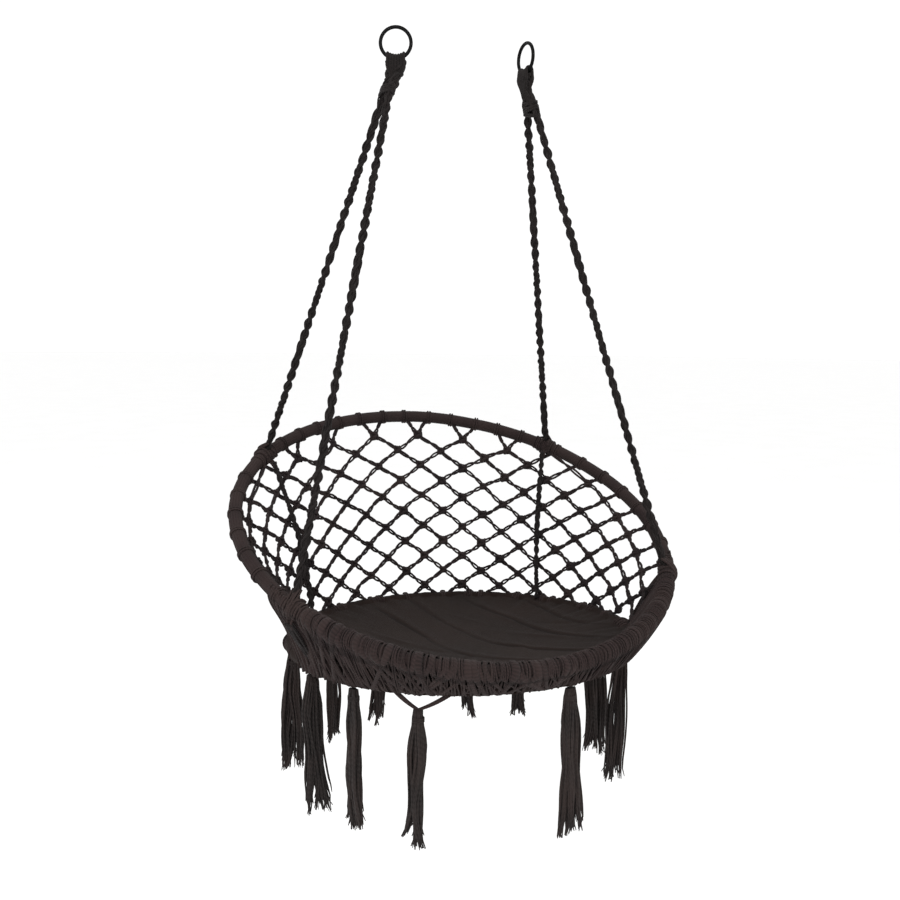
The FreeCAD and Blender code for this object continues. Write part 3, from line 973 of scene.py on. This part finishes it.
def neck(side):
    """Cords looped on the ring, drawn into a neck and parted into the two ropes."""
    points = vertices_of(f"{side}_hanging_ring")
    flat = np.linalg.svd(points - points.mean(0), full_matrices=False)[2][2]
    (front_top, front_foot), (rear_top, rear_foot) = (
        ends_of(f"rope_{end}_{side}") for end in ("front", "rear")
    )
    strands = Strands()
    centre = ring_loops(strands, side, unit(np.cross(UP, flat)), flat, (front_top, rear_top))
    join = (front_top + rear_top) / 2
    apart = np.linalg.norm(front_top - rear_top)
    fore, aft = unit(front_foot - front_top), unit(rear_foot - rear_top)
    hang, parting = unit(fore + aft), unit(fore - aft)
    through = unit(np.cross(parting, hang))
    for turns in range(NECK_TURNS[side]):
        hub = join + hang * (turns * NECK_STEP - 5) * MM
        wide = apart / 2 + (5 + 0.9 * turns) * MM
        lean = rng.uniform(-0.3, 0.3)
        loop = [
            hub
            + parting * wide * math.cos(angle)
            + through * NECK_DEPTH * math.sin(angle)
            + hang * wide * lean * math.cos(angle)
            for angle in full_turn(24)
        ]
        strands.add(loop, 1.9 * MM * rng.uniform(0.9, 1.2), closed=True)
    piece = strands.piece(f"{side}_neck", ROPE, "plaited_rope")
    if side == "left":
        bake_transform(piece)
    else:
        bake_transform(piece)
    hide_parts(f"{side}_neck_binding", f"{side}_ring_loops")


for side in SIDES:
    ring_materials = frame["nodes"][f"{side}_hanging_ring"].data.materials
    ring_materials.clear()
    ring_materials.append(STEEL)
    neck(side)


# ---- front lashing

LASH_SPAN = 55
LASH_STEP = 0.5
LASH_CORD = 1.3 * MM
LASH_ROOM = 14.4 * MM
LASH_SECTORS = 7  # the lashing is cut into this many pieces, each over its own stretch of the hoops
LOOSE_PART = -12  # the lashing is loose from its left end to this angle
FOLDS, LAST_FOLD = 42, 8


def seat_angle_of(point):
    """The angle at which the seat hoop is nearest this point."""
    offset = point - SEAT.centre
    return math.degrees(math.atan2(offset @ SEAT.across, offset @ SEAT.front))


def lashed_to(angle):
    return SEAT.at(seat_angle_of(BACK.at(angle)))


def lash_turn(angle, shift, room, slack):
    """One turn round both hoops, its lower end shifted along the seat hoop."""
    high = BACK.at(angle)
    low = SEAT.at(seat_angle_of(high) + shift)
    up = unit(high - low)
    along = BACK.tangent(angle)
    out = unit(np.cross(along - up * (along @ up), up))
    arc = np.linspace(0, math.pi, 9)
    over = [high + room * (math.cos(turn) * out + math.sin(turn) * up) for turn in arc]
    under = [low - room * (math.cos(turn) * out + math.sin(turn) * up) for turn in arc]
    back = [over[-1] + (under[0] - over[-1]) * share for share in (0.33, 0.67)]
    front = [under[-1] + (over[0] - under[-1]) * share for share in (0.25, 0.5, 0.75)]
    front = [point + out * slack * bend for point, bend in zip(front, (0.7, 1.0, 0.7))]
    return [*over, *back, *under, *front]


def fold_turn(angle):
    """A broad, smooth, flattened fold that leans over the turns at the front left."""
    pull = rng.uniform(1, 9) * rng.choice((-1, 1, 1))
    path = np.array(lash_turn(angle, pull, LASH_ROOM + rng.uniform(0.5, 2) * MM, MM))
    smooth = [np.convolve(np.tile(path[:, axis], 3), np.ones(3) / 3, "same") for axis in range(3)]
    path = np.stack(smooth, axis=1)[len(path) : 2 * len(path)]
    width = LASH_CORD * rng.uniform(1.5, 4.5) * (1 + 0.3 * np.sin(np.linspace(0, 12, len(path))))
    return path, width


sectors = [Strands() for _ in range(LASH_SECTORS)]


def sector_of(angle):
    share = (angle + LASH_SPAN) / (2 * LASH_SPAN)
    return sectors[int(np.clip(share * LASH_SECTORS, 0, LASH_SECTORS - 1))]


angle = -float(LASH_SPAN)
while angle < LASH_SPAN:
    loose = 1.0 if angle < LOOSE_PART else 0.25
    shift = rng.normal(0, 0.5 + 0.9 * loose)
    room = LASH_ROOM + rng.uniform(-0.5, 0.6 + loose) * MM
    slack = rng.uniform(-2.0, 1.5 + 2.5 * loose) * MM
    thick = LASH_CORD * rng.uniform(0.9, 1.25)
    sector_of(angle).add(lash_turn(angle, shift, room, slack), thick, 5, closed=True)
    angle += LASH_STEP * rng.uniform(0.75, 1.25)
for angle in np.linspace(-LASH_SPAN, LAST_FOLD, FOLDS):
    path, width = fold_turn(angle)
    flat = rng.uniform(0.3, 0.55)
    sector_of(angle).add(path, width, 7, closed=True, across=BACK.tangent(angle), flat=flat)
edges = np.linspace(-LASH_SPAN, LASH_SPAN, LASH_SECTORS + 1)
for number, sector in enumerate(sectors, 1):
    piece = sector.piece(f"front_lashing_{number}", WRAP, "wrap_cord")
    between = bend_line(edges[number - 1], edges[number], BACK.at, lashed_to)
    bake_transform(piece)
    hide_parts("front_lashing")


# ---- seat cloth

CLOTH_INNER = 287 * MM  # where the cloth starts to climb over the hoop
CLOTH_SAG = 24 * MM
CLOTH_TOP = 8 * MM
CLOTH_THICKNESS = 1.6 * MM
SEAM_TURN = math.radians(11)  # of the seams from straight ahead
SEAM_PLACES = (-238, -155, -42, 42, 150, 232)  # mm to the side of the middle
SEAM_BEND = 35 * MM  # of each seam's front end to the side
OVER_HOOP = (142, -70)  # the cloth's way over the hoop and down its outside, degrees
CLOTH_RINGS, CLOTH_SPOKES = 90, 320
WRINKLES = [
    (
        rng.uniform(-2.6, 3.0) * MM,
        rng.uniform(-0.2, 0.2, 2),
        rng.uniform(4, 9) * MM,
        rng.uniform(-0.6, 0.9),
    )
    for _ in range(34)
]  # height, place, width and direction


def on_seat(x, y, z):
    """Row points for seat coordinates: x as in the row, y to the rear and z up."""
    x, y, z = x[..., None], y[..., None], z[..., None]
    return SEAT.centre + x * SEAT.across - y * SEAT.front + z * SEAT_UP


def sagging(x, y):
    """Height of the cloth's top inside the hoop, and the painted shade of its folds: its seams'
    grooves and the troughs of its gathers.
    """
    share = np.hypot(x, y) / CLOTH_INNER
    turn = np.arctan2(x, -y)
    height = CLOTH_TOP - CLOTH_SAG * (1 - share**2)
    # The second value is painted shade, strongest down each seam's groove and faint in the troughs
    # of the gathers at the rim.
    fold_shade = np.zeros_like(x)
    ahead = x * math.sin(SEAM_TURN) - y * math.cos(SEAM_TURN)
    aside = x * math.cos(SEAM_TURN) + y * math.sin(SEAM_TURN)
    fade = np.clip(1.25 - share**5, 0, 1)
    for number, place in enumerate(SEAM_PLACES):
        bend = SEAM_BEND * np.clip(ahead / (150 * MM), -0.4, 1.6) ** 2
        gap = aside - place * MM - bend - 5 * MM * np.sin(14 * ahead + 2 * number)
        depth = 0.75 + 0.25 * np.sin(11 * ahead + 1.9 * number)
        groove = depth * np.exp(-((gap / (2.6 * MM)) ** 2))
        swell = depth * np.exp(-(((gap - 10 * MM) / (9 * MM)) ** 2))
        height = height + fade * (-2.4 * groove + 2.6 * swell) * MM
        fold_shade = fold_shade + 0.75 * fade * groove
    for size, place, wide, angle in WRINKLES:
        across = x * math.cos(angle) + y * math.sin(angle) - place[0]
        down = y * math.cos(angle) - x * math.sin(angle) - place[1]
        ridge = np.exp(-((across / wide) ** 2) - (down / (9 * wide)) ** 2)
        height = height + size * ridge
    gathers = sum(
        size * np.sin(count * turn + phase)
        for count, phase, size in ((37, 0.4, 1.1), (61, 2.1, 0.8), (23, 1.1, 1.0), (97, 0.2, 0.4))
    )
    gathers = gathers * np.clip(share, 0, 1) ** 8
    return height + gathers * MM, np.clip(fold_shade + 0.1 * np.clip(-gathers, 0, 1), 0, 1)


def cloth_layer(turns, drop):
    """One face of the cloth as a grid of points from near its middle to its edge, with the painted
    shade of its folds.
    """
    radii = CLOTH_INNER * (np.arange(1, CLOTH_RINGS + 1) / CLOTH_RINGS) ** 0.85
    x, y = radii[:, None] * np.sin(turns), -radii[:, None] * np.cos(turns)
    height, fold_shade = sagging(x, y)
    inside = on_seat(x, y, height - drop)
    climb = np.radians(np.linspace(*OVER_HOOP, 16))[1:, None]
    pucker = sum(
        size * MM * np.sin(count * turns + phase)
        for count, phase, size in ((53, 0.3, 0.35), (111, 1.0, 0.25), (29, 2.0, 0.3))
    )
    room = SEAT_ROOM + 0.3 * MM + pucker - drop
    reach = SEAT.radius + room * np.cos(climb)
    over = on_seat(reach * np.sin(turns), -reach * np.cos(turns), room * np.sin(climb))
    # Painted shade in the hollows where the cloth puckers over the hoop.
    shade = np.broadcast_to(0.25 * np.clip(-pucker / MM, 0, 1), over.shape[:2])
    return np.concatenate([inside, over]), np.concatenate([fold_shade, shade])


def make_seat_cloth():
    turns = full_turn(CLOTH_SPOKES)
    upper, fold_shade = cloth_layer(turns, 0)
    lower, _ = cloth_layer(turns, CLOTH_THICKNESS)
    rings = len(upper)
    points = np.concatenate(
        [np.append(layer.reshape(-1, 3), [layer[0].mean(0)], 0) for layer in (upper, lower)]
    )
    size = rings * CLOTH_SPOKES
    index = np.arange(size).reshape(rings, CLOTH_SPOKES)
    beside = np.roll(index, -1, 1)
    quads = np.stack([index[:-1], index[1:], beside[1:], beside[:-1]], axis=2).reshape(-1, 4)
    faces = quads.tolist() + (quads[:, ::-1] + size + 1).tolist()
    for number in range(CLOTH_SPOKES):
        following = (number + 1) % CLOTH_SPOKES
        faces.append([size, number, following])
        faces.append([2 * size + 1, following + size + 1, number + size + 1])
        rim, after = index[-1][number], index[-1][following]
        faces.append([rim, rim + size + 1, after + size + 1, after])
    piece = make_piece("seat_canvas_cloth", points, faces, CANVAS)
    # The fold attribute carries the painted shade of the seams, gathers and puckers to the seat
    # material.
    shade = np.concatenate([fold_shade.ravel(), [0], fold_shade.ravel(), [0]])
    piece.data.attributes.new("fold", "FLOAT", "POINT").data.foreach_set("value", shade)
    return piece


def make_hem():
    """The cloth's rolled edge under the hoop, puckered by its stitches."""
    strands = Strands()
    turns = np.arange(0, 360, 0.75)
    edge = math.radians(OVER_HOOP[1])
    room = SEAT_ROOM + 0.4 * MM
    path = [
        SEAT.at(
            turn,
            (room + 0.5 * MM * math.sin(turn * 0.9)) * math.cos(edge),
            (room + 0.6 * MM * math.sin(turn * 0.7)) * math.sin(edge),
        )
        for turn in turns
    ]
    strands.add(path, 2.0 * MM, 8, closed=True, across=SEAT_UP)
    for turn in np.arange(0, 360, 2.4):
        lean = rng.uniform(-0.5, 0.5)
        path = [
            SEAT.beside(turn + lean, room + reach * MM, OVER_HOOP[1] + way)
            for reach, way in ((-0.5, 16), (1.6, 9), (2.2, 0), (1.6, -9), (-0.5, -16))
        ]
        strands.add(path, 0.9 * MM, 5)
    return strands.piece("seat_hem_roll", CANVAS, "seat_canvas")


cloth = make_seat_cloth()
hem = make_hem()
fix(cloth, "seat", "seat_cloth")
fix(hem, "seat", "seat_hem")


# ---- tassels

YARN_RADIUS = 1.9 * MM
YARNS, YARN_POINTS = 16, 17  # yarns in each lock of a tassel, and points down each yarn
SWAG_FEET = (-43, -25)
joint_of = {joint["child"]: joint for joint in frame["joints"]}


def tassel(name):
    """A bundle of yarn doubled over the hoop, bound near its top and cut ragged at its foot."""
    node = f"tassel_{name}"
    pivot = np.array(joint_of[node]["pos_m"])
    swing = unit(joint_of[node]["axis"])
    out = unit(np.cross(swing, UP))
    broad, thin_way = (out, swing) if "side" in name else (swing, out)
    length = pivot[2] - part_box(node)[0][2]
    bulk = rng.uniform(1.2, 1.45) if "side" in name else rng.uniform(0.78, 1.0)
    strands = Strands()
    locks = int(rng.integers(4, 6))
    share = np.linspace(0, 1, YARN_POINTS)
    below_head, thin = np.clip(share * 3, 0, 1), np.interp(share, (0, 0.88, 1), (1, 1, 0.4))
    bulge = np.interp(share, (0, 0.07, 0.11, 0.16, 0.4, 0.8, 1), (4, 6, 5, 6, 6.5, 6, 4)) * MM
    fan = np.interp(share, (0, 0.1, 0.25, 0.85, 1), (0.35, 0.4, 0.7, 0.8, 1.4))
    whole_sway = np.interp(share, (0, 0.3, 1), (0, 0, 1)) * rng.normal(0, 6 * MM)
    for lock in range(locks):
        spread = (lock - (locks - 1) / 2) * 6.0 * MM * bulk
        sway = rng.normal(0, 2.5 * MM, 2)
        phase, waves = rng.uniform(0, 6, 2), rng.uniform(5, 10, 2)
        lock_cut = rng.uniform(0.9, 1)
        wave = (sway[0] + np.sin(waves[0] * share + phase[0]) * 2.6 * MM) * below_head
        ripple = (sway[1] + np.sin(waves[1] * share + phase[1]) * 1.4 * MM) * below_head
        for _ in range(YARNS):
            cut = length * lock_cut * (1 - 0.16 * rng.uniform(0, 1) ** 3)
            turn = rng.uniform(0, 2 * math.pi)
            reach = math.sqrt(rng.uniform(0, 1)) * bulk
            wide = spread * fan + bulge * reach * math.cos(turn) + whole_sway + wave
            deep = bulge * reach * math.sin(turn) + ripple
            path = pivot + wide[:, None] * broad + deep[:, None] * thin_way
            path = path - (share * cut)[:, None] * UP
            path = path + wander(YARN_POINTS, 5, 1.5 * MM)
            path[-1] = path[-1] + rng.normal(0, 2.4 * MM, 3) * (1, 1, 0.2)
            yarn_size = YARN_RADIUS * rng.uniform(0.8, 1.35)
            strands.add(path, yarn_size * thin, 5, across=swing, flat=rng.uniform(0.5, 1))
    wide, deep = (6.5 + 0.6 * locks) * MM, 7.2 * MM
    for drop in (12.5, 15, 17.5):
        loop = [
            pivot
            - (drop - rng.uniform(-0.3, 0.3)) * MM * UP
            + wide * math.cos(turn) * broad
            + deep * math.sin(turn) * thin_way
            for turn in full_turn(18)
        ]
        strands.add(loop, 1.3 * MM, closed=True)
    fix(strands.piece(f"fringe_{name}", YARN, "tassel_yarn"), node, node)


tassel_bodies = [body for body in frame["bodies"] if body.startswith("tassel_")]
for body in tassel_bodies:
    tassel(body.removeprefix("tassel_"))

strands = Strands()
for body in tassel_bodies:
    angle = seat_angle_of(np.array(joint_of[body]["pos_m"]))
    binding(strands, SEAT, angle, 7 * MM, SEAT_ROOM + 0.4 * MM, 1.5 * MM)
fix(strands.piece("tassel_hitches", WRAP, "wrap_cord"), "seat", "tassel_ties")

strands = Strands()
knot = np.array(joint_of["tassel_front_middle"]["pos_m"])
for foot in SWAG_FEET:
    start = SEAT.beside(foot, 14 * MM, -110)
    for offset in (-2.2, 2.2):
        side = SEAT.tangent(foot) * offset * MM
        middle = (start + knot) / 2 + side * 1.6 - UP * 5 * MM
        strands.add(curve_through([start + side, middle, knot], 16), 2.3 * MM)
fix(strands.piece("swag_loops", WRAP, "wrap_cord"), "seat", "swag_cords")
